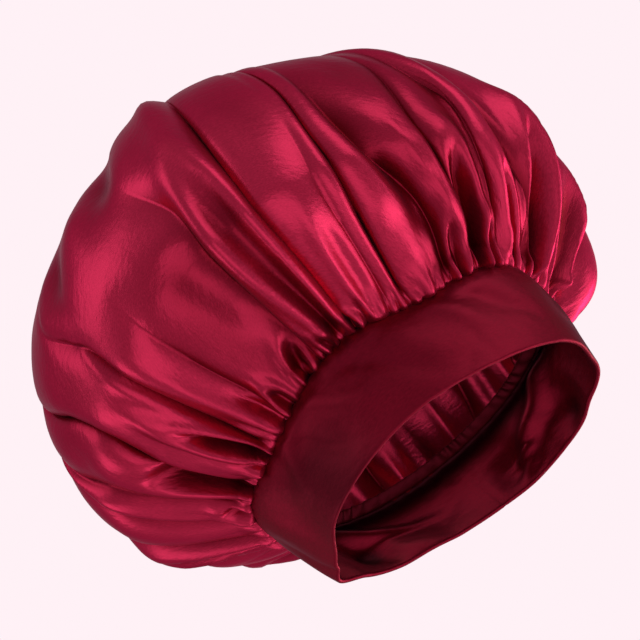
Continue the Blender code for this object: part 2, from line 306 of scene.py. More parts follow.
CROWN_DENTS = (
    Dent(-106, 0.54, 4.5, 0.08, 6.0), Dent(-115, 0.48, 4.5, 0.08, -3.5), Dent(-126, 0.49, 4.0, 0.08, 5.0),
    Dent(-134, 0.42, 5, 0.08, -3.5), Dent(-107, 0.10, 9, 0.12, 4.0), Dent(23, 0.10, 10, 0.09, -10.0),
    Dent(-103, 0.20, 7, 0.07, 4.5), Dent(-114, 0.36, 9, 0.09, -2.5),
    Dent(-87.5, 0.55, 3.5, 0.14, -5.0), Dent(-75, 0.42, 5, 0.12, 2.0), Dent(-60, 0.30, 6, 0.09, 2.0),
    Dent(-50, 0.42, 5, 0.08, 1.5), Dent(-136, 0.30, 6, 0.10, 2.5), Dent(-150, 0.30, 6, 0.10, 2.5),
    Dent(-38, 0.30, 4, 0.06, 1.5), Dent(10, 0.45, 9, 0.12, 3.0), Dent(40, 0.40, 8, 0.12, 2.5),
    Dent(70, 0.50, 9, 0.12, 3.0), Dent(100, 0.40, 8, 0.10, 2.5), Dent(130, 0.48, 9, 0.12, 3.0),
    Dent(160, 0.42, 9, 0.12, 2.5), Dent(-20, 0.66, 16, 0.14, 4.0), Dent(70, 0.72, 20, 0.12, 4.0),
    Dent(150, 0.68, 18, 0.14, 4.0), Dent(-130, 0.70, 18, 0.14, 4.0),
)

BAND_DENTS = (
    Dent(-118, 0.55, 26, 0.50, 2.0), Dent(-70, 0.45, 22, 0.50, -1.5), Dent(46, 0.75, 13, 0.40, -5.5),
    Dent(76, 0.72, 12, 0.36, -5.0), Dent(112, 0.45, 26, 0.60, -4.0), Dent(138, 0.60, 12, 0.40, -7.0),
    Dent(-135, 0.35, 9, 0.30, 1.2), Dent(-100, 0.62, 10, 0.28, -0.9), Dent(-84, 0.30, 9, 0.26, 0.9),
    Dent(-48, 0.50, 12, 0.34, 1.2), Dent(122, 0.80, 14, 0.40, 3.5), Dent(64, 0.40, 12, 0.40, 4.0),
    Dent(-150, 0.60, 16, 0.50, 2.5),
    Dent(-12, 0.40, 12, 0.40, 1.5), Dent(178, 0.45, 12, 0.40, 1.5),
)

BAND_FOLDS = (
    Fold(40, 56, 78, 0.02, 0.80, 8.0, -8.0),
    Fold(70, 72, 78, 0.60, 1.00, 5.0, -5.0),
    Fold(150, 132, 104, 0.02, 0.60, 8.0, -5.0),
    Fold(-112, -104, -92, 0.05, 0.80, 5.0, 2.0),
    Fold(-96, -84, -74, 0.10, 0.95, 6.0, -2.4),
    Fold(-122, -118, -112, 0.15, 0.90, 5.0, -2.0),
    Fold(-128, -132, -140, 0.05, 0.70, 4.0, 1.8),
    Fold(-66, -56, -50, 0.05, 0.80, 5.0, 1.8),
    Fold(-50, -40, -28, 0.15, 0.85, 5.0, -1.8),
)


# ---------------------------------------------------------------- small shared tools


def smooth_step(value: np.ndarray | float) -> np.ndarray | float:
    """Ease from 0 to 1."""
    clamped = np.clip(value, 0.0, 1.0)
    return clamped * clamped * (3.0 - 2.0 * clamped)


def fade_out(value: np.ndarray, end: np.ndarray | float, over: np.ndarray | float) -> np.ndarray:
    """Ease from 1 to 0, which is reached at the end, over the stretch before it."""
    return smooth_step((end - value) / over)


def bell(*offsets: np.ndarray) -> np.ndarray:
    """A bell: 1 where every offset is 0, and nearly 0 where one is past 2."""
    return np.exp(-sum(offset ** 2 for offset in offsets))


def turn_between(first: np.ndarray | float, second: np.ndarray | float) -> np.ndarray | float:
    """The signed turn in degrees from the first azimuth to the second, the short way round."""
    return (second - first + HALF_TURN) % FULL_TURN - HALF_TURN


def fade_aside(degrees: np.ndarray, middle: float, half: float, over: float) -> np.ndarray:
    """Ease from 1 to 0 on both sides of a middle azimuth, where 0 is reached half degrees from it."""
    return fade_out(np.abs(turn_between(middle, degrees)), half, over)


def line_shift(line: tuple[LinePoint, ...], degrees: np.ndarray) -> np.ndarray:
    """A line's shift at each azimuth, in metres, eased between the rows of its table.

    Args:
        line: The rows of the line, in order of azimuth.
        degrees: The azimuths asked for.

    Returns:
        The shift at each azimuth.
    """
    shift = np.zeros_like(degrees)
    for start, end in zip(line, line[1:] + line[:1]):
        span = (end.degrees - start.degrees) % FULL_TURN
        offset = (degrees - start.degrees) % FULL_TURN
        eased = start.shift_mm + smooth_step(offset / span) * (end.shift_mm - start.shift_mm)
        shift = np.where(offset < span, MM * eased, shift)
    return shift


def curve_through(places: tuple[float, ...], values: tuple[float, ...], share: np.ndarray) -> np.ndarray:
    """A smooth curve through a few values, level at its end.

    Args:
        places: Where the values stand, rising.
        values: The values.
        share: Where the curve is asked for.

    Returns:
        The curve's value at each share.
    """
    slopes = np.gradient(values, places)
    slopes[-1] = 0.0
    index = np.clip(np.searchsorted(places, share, side="right") - 1, 0, len(places) - 2)
    step = np.diff(places)[index]
    blend = np.clip((share - np.asarray(places)[index]) / step, 0.0, 1.0)
    low, high = np.asarray(values)[index], np.asarray(values)[index + 1]
    leave = blend * (1.0 - blend) ** 2 * step * slopes[index]
    arrive = blend * blend * (blend - 1.0) * step * slopes[index + 1]
    return low + smooth_step(blend) * (high - low) + leave + arrive


def folds_height(folds: tuple[Fold, ...], degrees: np.ndarray, share: np.ndarray) -> np.ndarray:
    """Height in millimetres that long folds give a cloth.

    Args:
        folds: The folds.
        degrees: Azimuths of the vertices.
        share: Shares of the vertices.

    Returns:
        The height of each vertex.
    """
    height = np.zeros_like(degrees)
    for fold in folds:
        blend = (share - fold.start) / (fold.end - fold.start)
        inside = (blend > 0.0) & (blend < 1.0)
        bow = 4.0 * blend * (1.0 - blend)
        middle = fold.low + blend * (fold.high - fold.low)
        middle = middle + bow * (fold.middle - 0.5 * (fold.low + fold.high))
        shape = bell(turn_between(middle, degrees) / fold.half_degrees) * smooth_step(blend / FOLD_RISE)
        height += np.where(inside, fold.height_mm * (shape * fade_out(blend, 1.0, FOLD_FADE)), 0.0)
    return height


def gathers_height(gathers: Gathers, degrees: np.ndarray, share: np.ndarray) -> np.ndarray:
    """Height in metres of gathers: rounded, of mixed sizes, with sharp valleys between them.

    Args:
        gathers: The gathers.
        degrees: Azimuths of the vertices.
        share: Shares of the vertices.

    Returns:
        The height of each vertex.
    """
    chance = np.random.default_rng(gathers.seed)
    size = chance.uniform(0.0, 1.0, gathers.count)
    widths = GATHER_WIDTHS[0] + GATHER_WIDTHS[1] * size
    ends = np.append(0.0, np.cumsum(widths)) / widths.sum() * FULL_TURN
    tall = (gathers.most_mm - gathers.least_mm) * size * chance.uniform(0.5, 1.0, gathers.count)
    tall = gathers.least_mm + tall
    top = (gathers.far_share - gathers.near_share) * size * chance.uniform(0.5, 1.0, gathers.count)
    top = gathers.near_share + top
    wander = sum(wide * share * np.sin(np.radians(count * degrees)) for wide, count in GATHER_WANDER)
    turned = (degrees + wander) % FULL_TURN
    cell = np.clip(np.searchsorted(ends, turned, side="right") - 1, 0, gathers.count - 1)
    part = (turned - ends[cell]) / np.diff(ends)[cell]
    rise = smooth_step((share + GATHER_START) / GATHER_RISE)
    fade = fade_out(share, top[cell], GATHER_FADE * top[cell])
    return MM * tall[cell] * 4.0 * part * (1.0 - part) * rise * fade


def vectors(x: np.ndarray, y: np.ndarray, z: np.ndarray) -> np.ndarray:
    """Points from their three coordinates."""
    return np.stack(np.broadcast_arrays(x, y, z), axis=-1)


def unit(points: np.ndarray) -> np.ndarray:
    """The same directions with a length of one."""
    return points / np.maximum(np.linalg.norm(points, axis=-1, keepdims=True), TINY)


def inwards(points: np.ndarray) -> np.ndarray:
    """Level directions from points to the Z axis."""
    return -unit(points * (1.0, 1.0, 0.0))


def linear(colour: str) -> tuple[float, float, float, float]:
    """An sRGB hex colour as the linear colour that shaders take.

    Args:
        colour: Six hex digits.

    Returns:
        Linear red, green and blue, and an alpha of one.
    """
    parts = [int(colour[place:place + 2], 16) / 255.0 for place in (0, 2, 4)]
    red, green, blue = (p / 12.92 if p <= 0.04045 else ((p + 0.055) / 1.055) ** 2.4 for p in parts)
    return (red, green, blue, 1.0)


def add_node(tree: bpy.types.NodeTree, kind: str, settings: dict[str, object] | None = None,
             inputs: dict[str | int, object] | None = None) -> bpy.types.Node:
    """Add a node with its settings, values and links.

    Args:
        tree: The node tree it goes into.
        kind: The node's type, such as ShaderNodeBump.
        settings: Its properties by name.
        inputs: Its inputs by name or number: a value, or the output that is linked to it.

    Returns:
        The new node.
    """
    node = tree.nodes.new(kind)
    for name, value in (settings or {}).items():
        setattr(node, name, value)
    for key, value in (inputs or {}).items():
        if isinstance(value, bpy.types.NodeSocket):
            tree.links.new(value, node.inputs[key])
        else:
            node.inputs[key].default_value = value
    return node


def new_material(name: str) -> tuple[bpy.types.Material, bpy.types.NodeTree]:
    """Add an empty node material.

    Args:
        name: The material's name.

    Returns:
        The material and its tree.
    """
    material = bpy.data.materials.new(name)
    material.use_nodes = True
    material.node_tree.nodes.clear()
    return material, material.node_tree


def add_piece(name: str, mesh: bmesh.types.BMesh) -> bpy.types.Object:
    """Turn a bmesh into a smoothly shaded piece at the origin.

    Args:
        name: The piece's name.
        mesh: Its mesh, in place, which is freed.

    Returns:
        The piece.
    """
    data = bpy.data.meshes.new(name)
    mesh.to_mesh(data)
    mesh.free()
    data.shade_smooth()
    piece = bpy.data.objects.new(name, data)
    bpy.context.scene.collection.objects.link(piece)
    return piece


class Spread(NamedTuple):
    """Where a sheet's vertices go: in space and in the flat cloth, and the painted shade each takes in
    pockets and folds.
    """

    points: np.ndarray
    flat: np.ndarray
    pocket: np.ndarray


def round_sheet(columns: int, rows: int, place: Callable[[np.ndarray, np.ndarray], Spread],
                finer: tuple[float, ...] = ()) -> bmesh.types.BMesh:
    """A grid wrapped round to meet itself, moved into place, with its flat cut as the UV map.

    Args:
        columns: How many columns go round.
        rows: How many rows there are.
        place: Gives the vertices their places from their parts of the way round and up the grid.
        finer: Parts of the way up the grid below which its columns are split in two, once for each.

    Returns:
        The mesh, closed round.
    """
    mesh = bmesh.new()
    bmesh.ops.create_grid(mesh, x_segments=columns, y_segments=rows, size=1.0)
    for part in finer:
        level = 2.0 * part - 1.0
        along = [edge for edge in mesh.edges if edge.verts[0].co.y < level
                 and abs(edge.verts[0].co.y - edge.verts[1].co.y) < MERGE]
        bmesh.ops.subdivide_edges(mesh, edges=along, cuts=1, use_grid_fill=True)
    grid = 0.5 + 0.5 * np.array([vertex.co[:2] for vertex in mesh.verts], dtype=float)
    spread = place(grid[:, 0], grid[:, 1])
    # The pocket attribute carries each vertex's painted shade.
    depth = mesh.verts.layers.float.new("pocket")
    uv = mesh.loops.layers.uv.verify()
    mesh.verts.index_update()
    for vertex, point, pocket in zip(mesh.verts, spread.points, spread.pocket):
        vertex.co = point
        vertex[depth] = pocket
    for face in mesh.faces:
        for loop in face.loops:
            loop[uv].uv = spread.flat[loop.vert.index]
    bmesh.ops.remove_doubles(mesh, verts=mesh.verts, dist=MERGE)
    return mesh


# ---------------------------------------------------------------- finishes


# The part of its range that a noise mostly keeps to.
NOISE_SPAN = {"From Min": 0.3, "From Max": 0.7}


@dataclass(frozen=True)
class SatinFinish:
    """Polyester satin, woven with long floats and heat-set: smooth and glossy, with a metallic sheen.

    face is its colour in the open, and pocket the darker colour of its painted shade, mixed in as far as the
    pocket attribute says: deep in a fold, where light reaches only through the cloth, and wherever else
    shade is painted. tint and edge colour its sheen and its grazing gloss, paler than the dye. The real
    threads are
    0.1 mm apart, too fine to show, so thread_mm draws them coarser: their length along the floats and their
    width across them. pucker_mm is the size of the weave's unevenness, too low to be felt, which frays the
    edge of every highlight, and cloud_mm that of the dye's.
    """

    name: str
    face: str
    pocket: str
    roughness: float
    metallic: float
    sheen: float
    anisotropy: float = 0.45
    thread_mm: tuple[float, float] = (2.4, 0.8)
    thread_depth_mm: float = 0.2
    thread_strength: float = 0.20
    thread_tone: tuple[float, float] = (0.87, 1.13)
    thread_gloss: tuple[float, float] = (-0.03, 0.04)
    pucker_mm: tuple[float, float] = (8.0, 4.0)
    pucker_depth_mm: float = 0.25
    cloud_mm: float = 22.0
    cloud_tone: tuple[float, float] = (0.93, 1.05)
    sheen_roughness: float = 0.35
    tint: str = "b58a98"
    edge: str = "d0a0b2"

    def material(self, uv_map: str) -> bpy.types.Material:
        """The satin as a material.

        Args:
            uv_map: Name of the UV map that holds the flat cloth, whose U runs along the floats.

        Returns:
            The material.
        """
        material, tree = new_material(self.name)
        place = add_node(tree, "ShaderNodeTexCoord")
        clouds = add_node(tree, "ShaderNodeTexNoise", inputs={
            "Vector": place.outputs["Object"], "Scale": 1.0 / (self.cloud_mm * MM), "Detail": 3.0,
            "Roughness": 0.55,
        })
        cut = add_node(tree, "ShaderNodeUVMap", {"uv_map": uv_map})
        patterns = []
        for along, across in (self.thread_mm, self.pucker_mm):
            scaled = add_node(tree, "ShaderNodeMapping", inputs={
                "Vector": cut.outputs["UV"], "Scale": (1.0 / (along * MM), 1.0 / (across * MM), 1.0),
            })
            patterns.append(add_node(tree, "ShaderNodeTexNoise", inputs={
                "Vector": scaled.outputs["Vector"], "Scale": 1.0, "Detail": 2.0,
            }))
        threads, puckers = patterns
        # Painted shade: the pocket attribute mixes the face colour towards the darker pocket colour.
        depth = add_node(tree, "ShaderNodeAttribute", {"attribute_name": "pocket"})
        # A Mix node's colour sockets share their names with its other ones, so they go by number.
        colour = add_node(tree, "ShaderNodeMix", {"data_type": "RGBA"}, {
            0: depth.outputs["Fac"], 6: linear(self.face), 7: linear(self.pocket),
        })
        gloss_span = (self.roughness + self.thread_gloss[0], self.roughness + self.thread_gloss[1])
        shade, speckle, gloss = (
            add_node(tree, "ShaderNodeMapRange", inputs={
                "Value": noise.outputs["Fac"], **NOISE_SPAN, "To Min": low, "To Max": high,
            })
            for noise, (low, high) in (
                (clouds, self.cloud_tone), (threads, self.thread_tone), (threads, gloss_span),
            )
        )
        tone = add_node(tree, "ShaderNodeMath", {"operation": "MULTIPLY"}, {
            0: shade.outputs["Result"], 1: speckle.outputs["Result"],
        })
        toned = add_node(tree, "ShaderNodeHueSaturation", inputs={
            "Color": colour.outputs[2], "Value": tone.outputs["Value"],
        })
        waved = add_node(tree, "ShaderNodeBump", inputs={
            "Height": puckers.outputs["Fac"], "Strength": 1.0, "Distance": self.pucker_depth_mm * MM,
        })
        bump = add_node(tree, "ShaderNodeBump", inputs={
            "Height": threads.outputs["Fac"], "Strength": self.thread_strength,
            "Distance": self.thread_depth_mm * MM, "Normal": waved.outputs["Normal"],
        })
        floats = add_node(tree, "ShaderNodeTangent", {"direction_type": "UV_MAP", "uv_map": uv_map})
        shader = add_node(tree, "ShaderNodeBsdfPrincipled", inputs={
            "Base Color": toned.outputs["Color"], "Metallic": self.metallic,
            "Roughness": gloss.outputs["Result"], "Anisotropic": self.anisotropy,
            "Tangent": floats.outputs["Tangent"], "Normal": bump.outputs["Normal"],
            "Sheen Weight": self.sheen, "Sheen Roughness": self.sheen_roughness,
            "Sheen Tint": linear(self.tint), "Specular Tint": linear(self.edge),
        })
        add_node(tree, "ShaderNodeOutputMaterial", inputs={"Surface": shader.outputs["BSDF"]})
        return material


@dataclass(frozen=True)
class PaperFinish:
    """Seamless backdrop paper, machine-made and uncoated: pale, even and without gloss."""

    name: str = "seamless_paper"
    colour: str = "fff1f6"
    roughness: float = 0.9

    def material(self) -> bpy.types.Material:
        """The paper as a material.

        Returns:
            The material.
        """
        material, tree = new_material(self.name)
        shader = add_node(tree, "ShaderNodeBsdfPrincipled", inputs={
            "Base Color": linear(self.colour), "Roughness": self.roughness,
        })
        add_node(tree, "ShaderNodeOutputMaterial", inputs={"Surface": shader.outputs["BSDF"]})
        return material


# ---------------------------------------------------------------- crown


@dataclass
class Crown:
    """The gathered crown: one satin panel, drawn in to the seam and puffed out above it.

    Lengths are in metres. length is that of the cloth from the seam to the top, cut_width that of the flat
    panel's short way, and turn_in and hem are shares below the seam. A pair named fade says at which share
    something has faded and over how much before that, and back says the same for the wide gathers: an
    azimuth, and degrees to each side of it. Swells are as wide as the girth at their share asks, which
    follows half a sine wave, moved on by girth_start and held from girth_end. The shades say how much
    painted shade a pocket, a valley and a gather's root get, and hem_fade paints shade below the seam.
    """

    seam_half_length: float = 0.1024
    seam_half_width: float = 0.0750
    centre: tuple[float, float, float] = (-0.007, 0.0, 0.084)
    half_length: float = 0.169
    half_width: float = 0.162
    rise: float = 0.144
    drop: float = 0.118
    length: float = 0.37
    cut_width: float = 0.72
    cloth: float = 0.0007
    tuck_share: float = 0.22
    gather_share: float = 0.05
    calm_share: float = 0.40
    turn_in: float = 0.012
    turn_in_rise: float = 0.3
    hem: float = 0.003
    columns: int = 250
    crowding: float = 0.03
    rows: int = 84
    row_spacing: tuple[float, float] = (0.42, 0.58)
    finer: tuple[float, ...] = (0.80, 0.26)
    share_step: float = 0.002
    highest: float = 0.9999
    steepness: float = 2.5
    crease_at_seam: float = 0.15
    crease_fade: float = 0.60
    back: tuple[float, float, float] = (108.0, 72.0, 20.0)
    wide_in_front: float = 0.15
    wide_behind: float = 0.85
    swells: Swells = Swells()
    swell_radius_mm: float = 165.0
    girth_start: float = 0.12
    girth_end: float = 0.95
    swell_rise: float = 0.08
    swell_calm: float = 0.3
    swell_lively: float = 0.6
    swell_fade: tuple[float, float] = (0.34, 0.22)
    valley_fade: tuple[float, float] = (0.75, 0.35)
    root_fade: tuple[float, float] = (0.05, 0.04)
    hem_fade: tuple[float, float] = (0.003, 0.005)
    pocket_shade: float = 0.9
    valley_shade: float = 0.85
    root_shade: float = 0.8

    def form(self, degrees: np.ndarray, share: np.ndarray) -> np.ndarray:
        """Points of the smooth crown, without folds.

        Args:
            degrees: Azimuths.
            share: Shares of the way from the seam's level (0) to the top (1).

        Returns:
            The points.
        """
        azimuth = np.radians(degrees)
        tuck_angle = math.pi - math.acos(self.centre[2] / self.drop)
        polar = tuck_angle * (1.0 - share)
        height = np.where(polar < math.pi / 2, self.rise, self.drop)
        tuck = 1.0 - smooth_step(share / self.tuck_share)
        edge_x = self.centre[0] + self.half_length * math.sin(tuck_angle) * np.cos(azimuth)
        edge_y = self.centre[1] + self.half_width * math.sin(tuck_angle) * np.sin(azimuth)
        x = self.centre[0] + self.half_length * np.sin(polar) * np.cos(azimuth)
        y = self.centre[1] + self.half_width * np.sin(polar) * np.sin(azimuth)
        x = x + tuck * (self.seam_half_length * np.cos(azimuth) - edge_x)
        y = y + tuck * (self.seam_half_width * np.sin(azimuth) - edge_y)
        return vectors(x, y, self.centre[2] + height * np.cos(polar))

    def seam(self, degrees: np.ndarray) -> np.ndarray:
        """Points of the wandering seam line."""
        return self.form(degrees, line_shift(SEAM_LINE, degrees) / self.length)

    def frame(self, degrees: np.ndarray, share: np.ndarray) -> tuple[np.ndarray, np.ndarray, np.ndarray]:
        """The smooth crown from the seam line up.

        Args:
            degrees: Azimuths.
            share: Shares of the way from the seam line (0) to the top (1).

        Returns:
            Points, outward normals and sideways directions.
        """
        start = line_shift(SEAM_LINE, degrees) / self.length
        along = start + (1.0 - start) * share
        across = self.form(degrees + TURN_STEP, along) - self.form(degrees - TURN_STEP, along)
        upward = self.form(degrees, along + self.share_step) - self.form(degrees, along - self.share_step)
        return self.form(degrees, along), unit(np.cross(across, upward)), unit(across)

    def lobes(self, around: np.ndarray) -> tuple[np.ndarray, np.ndarray]:
        """Share the columns out among the lobes, closer together at the creases and crests.

        Args:
            around: Parts of the way round the grid.

        Returns:
            Which lobe each part lies in, and how far across it.
        """
        starts = [crease.path[SHARED_OUT_AT] for crease in CREASES]
        widths = [turn_between(start, end) for start, end in zip(starts, starts[1:] + starts[:1])]
        ends = np.round(np.cumsum([0.0, *widths]) / FULL_TURN * self.columns) / self.columns
        lobe = np.clip(np.searchsorted(ends, around + MERGE, side="right") - 1, 0, len(CREASES) - 1)
        part = (around - ends[lobe]) / np.diff(ends)[lobe]
        return lobe, part - self.crowding * np.sin(4.0 * math.pi * part)

    def lobe_height(self, lobe: np.ndarray, part: np.ndarray,
                    share: np.ndarray) -> tuple[np.ndarray, np.ndarray]:
        """The lobes' height above the smooth crown, and their sideways roll, in metres.

        Args:
            lobe: The lobe of each column.
            part: How far across its lobe each column lies.
            share: The share of each row.

        Returns:
            Height and roll of each vertex.
        """
        gather = smooth_step(share / self.gather_share)
        calm = fade_out(share, 1.0, self.calm_share)
        table = {name: np.array([getattr(crease, name) for crease in CREASES])
                 for name in ("reach", "depth_mm", "crest_mm", "crest_at", "lean_mm")}
        crest = table["crest_mm"][lobe] * gather * calm
        crest_at = table["crest_at"][lobe]
        after = (lobe + 1) % len(CREASES)
        depths = []
        fades = []
        for edge, near in ((lobe, (lobe - 1) % len(CREASES)), (after, after)):
            level = 0.5 * (table["crest_mm"][lobe] + table["crest_mm"][near]) * gather * calm
            reach = table["reach"][edge]
            fade = fade_out(share, reach, self.crease_fade * reach)
            sharpness = fade * (self.crease_at_seam + (1.0 - self.crease_at_seam) * gather)
            depths.append(level - sharpness * (table["depth_mm"][edge] + level))
            fades.append(fade * gather)
        first = part < crest_at
        depth = np.where(first, depths[0], depths[1])
        across = np.where(first, part / crest_at, (1.0 - part) / (1.0 - crest_at))
        lean = table["lean_mm"][lobe]
        roll = HUMP * across * (1.0 - across) ** 2 * np.abs(lean)
        onwards = np.where((lean < 0) & ~first, roll * fades[1], 0.0)
        roll = np.where((lean > 0) & first, -roll * fades[0], onwards)
        return MM * (crest - (crest - depth) * (1.0 - across) ** self.steepness), MM * roll

    def detail(self, degrees: np.ndarray, share: np.ndarray) -> tuple[np.ndarray, np.ndarray]:
        """What the loops, folds and dents do to the cloth.

        Args:
            degrees: Azimuths of the vertices.
            share: Shares of the vertices.

        Returns:
            The height of each vertex in metres, and the painted shade that the pockets and dents give it.
        """
        height = np.zeros_like(degrees)
        pocket = np.zeros_like(degrees)
        for loop in LOOPS:
            blend = (share - loop.start) / (loop.end - loop.start)
            middle = loop.foot + blend * (loop.top - loop.foot)
            width = loop.half_degrees * (LOOP_FOOT + (1.0 - LOOP_FOOT) * smooth_step(blend / LOOP_WIDENS))
            sideways = turn_between(middle, degrees) / width
            radius = np.hypot(sideways, np.maximum(blend - LOOP_ARCH, 0.0) / (1.0 - LOOP_ARCH))
            near = smooth_step(blend / LOOP_RISE)
            hollow = np.where(radius < 1.0, (1.0 - np.minimum(radius, 1.0) ** 2) ** 1.5, 0.0)
            hairpin = bell((radius - HAIRPIN_AT) / HAIRPIN_SOFT)
            height += near * (loop.ridge_mm * hairpin - loop.pocket_mm * hollow)
            # Painted shade inside the loop's pocket, as deep as the pocket is.
            pocket += near * hollow * np.clip(loop.pocket_mm / DEEP_MM, 0.0, 1.0)
        height += folds_height(FOLDS, degrees, share)
        for dent in CROWN_DENTS:
            offset = turn_between(dent.degrees, degrees) / dent.half_degrees
            round_shape = bell(offset, (share - dent.share) / dent.half_share)
            height -= dent.depth_mm * round_shape
            # Painted shade in a dent that goes inward.
            pocket += DENT_SHADE * max(dent.depth_mm, 0.0) * round_shape
        return MM * height, np.clip(pocket, 0.0, 1.0)

    def swell(self, degrees: np.ndarray, share: np.ndarray) -> np.ndarray:
        """The soft swells that satin always has, longer up the cloth than across.

        Args:
            degrees: Azimuths of the vertices.
            share: Shares of the vertices.

        Returns:
            The height of each vertex, in metres.
        """
        ranges = self.swells
        chance = np.random.default_rng(ranges.seed)
        height = np.zeros_like(degrees)
        for _ in range(ranges.count):
            place, level = chance.uniform(-HALF_TURN, HALF_TURN), chance.uniform(*ranges.share)
            wide, aspect = chance.uniform(*ranges.half_mm), chance.uniform(*ranges.aspect)
            slant, sign = chance.uniform(*ranges.slant), chance.choice((-1.0, 1.0))
            girth = math.sin(math.pi * min(level + self.girth_start, self.girth_end))
            degree_mm = math.radians(1.0) * self.swell_radius_mm * girth
            across = turn_between(place, degrees) * degree_mm
            along = (share - level) * self.length / MM
            across, along = across - slant * along, along / aspect
            shape = np.exp(-(across ** 2 + along ** 2) / wide ** 2)
            height += sign * ranges.steepness * wide * shape
        strength = self.swell_calm + self.swell_lively * fade_out(share, *self.swell_fade)
        return MM * height * smooth_step(share / self.swell_rise) * strength

    def place(self, around: np.ndarray, up: np.ndarray) -> Spread:
        """Place the crown's vertices.

        Args:
            around: Their parts of the way round the grid.
            up: Their parts of the way up it.

        Returns:
            Their places.
        """
        even, closer = self.row_spacing
        share = -self.turn_in + (1.0 + self.turn_in) * (even * up + closer * up ** 2)
        lobe, part = self.lobes(around % 1.0)
        levels, level = np.unique(share, return_inverse=True)
        paths = np.array([curve_through(CREASE_HEIGHTS, crease.path, levels) for crease in CREASES])
        start, end = paths[lobe, level], paths[(lobe + 1) % len(CREASES), level]
        degrees = start + part * ((end - start) % FULL_TURN)
        lobe_height, roll = self.lobe_height(lobe, part, np.maximum(share, 0.0))
        detail, pocket = self.detail(degrees, share)
        small = gathers_height(SMALL_GATHERS, degrees, share)
        wide = gathers_height(WIDE_GATHERS, degrees, share)
        # In front the tables give the wide folds, so the drawn ones are strong only behind.
        strength = self.wide_in_front + self.wide_behind * fade_aside(degrees, *self.back)
        height = lobe_height + detail + small + strength * wide + self.swell(degrees, share)
        # Inside the seam nothing stands out, so that nothing shows below the seam allowance.
        height = np.where(height > 0.0, height * smooth_step((share + self.hem) / self.hem), height)
        points, normal, sideways = self.frame(degrees, np.clip(share, 0.0, self.highest))
        points = points + height[:, None] * normal + roll[:, None] * sideways
        turned = inwards(points) + (0.0, 0.0, self.turn_in_rise)
        points = points + (np.maximum(-share, 0.0) * self.length)[:, None] * turned
        top = up > 1.0 - MERGE
        points[top] = points[top].mean(axis=0)
        radius, azimuth = self.length * (1.0 - share), np.radians(degrees)
        flat = np.stack([radius * np.cos(azimuth), radius * np.sin(azimuth)], axis=-1)
        # Painted shade: darker in pockets and dents, in the valleys beside the creases, between the roots of
        # the small gathers near the seam, and below the hem.
        valley = smooth_step(-lobe_height / (DEEP_MM * MM)) * fade_out(share, *self.valley_fade)
        root = fade_out(share, *self.root_fade) * smooth_step(1.0 - small / MM)
        shade = self.pocket_shade * pocket + self.valley_shade * valley + self.root_shade * root
        return Spread(points, flat, np.clip(shade + fade_out(share, *self.hem_fade), 0.0, 1.0))

    def build(self) -> bpy.types.Object:
        """The crown as one thin sheet, with its flat cut as UV map and its painted shade as an attribute.

        Returns:
            The piece.
        """
        mesh = round_sheet(self.columns, self.rows, self.place, self.finer)
        piece = add_piece("crown_satin", mesh)
        wall = piece.modifiers.new("cloth", "SOLIDIFY")
        wall.thickness = self.cloth
        wall.offset = -1.0
        return piece

    def dress(self, piece: bpy.types.Object, finish: SatinFinish) -> None:
        """Give the crown its satin, and tie it to the frame.

        Args:
            piece: The crown.
            finish: Its satin.
        """
        piece.data.materials.append(finish.material(piece.data.uv_layers[0].name))
        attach(piece, "root")
        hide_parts("crown")


# ---------------------------------------------------------------- band


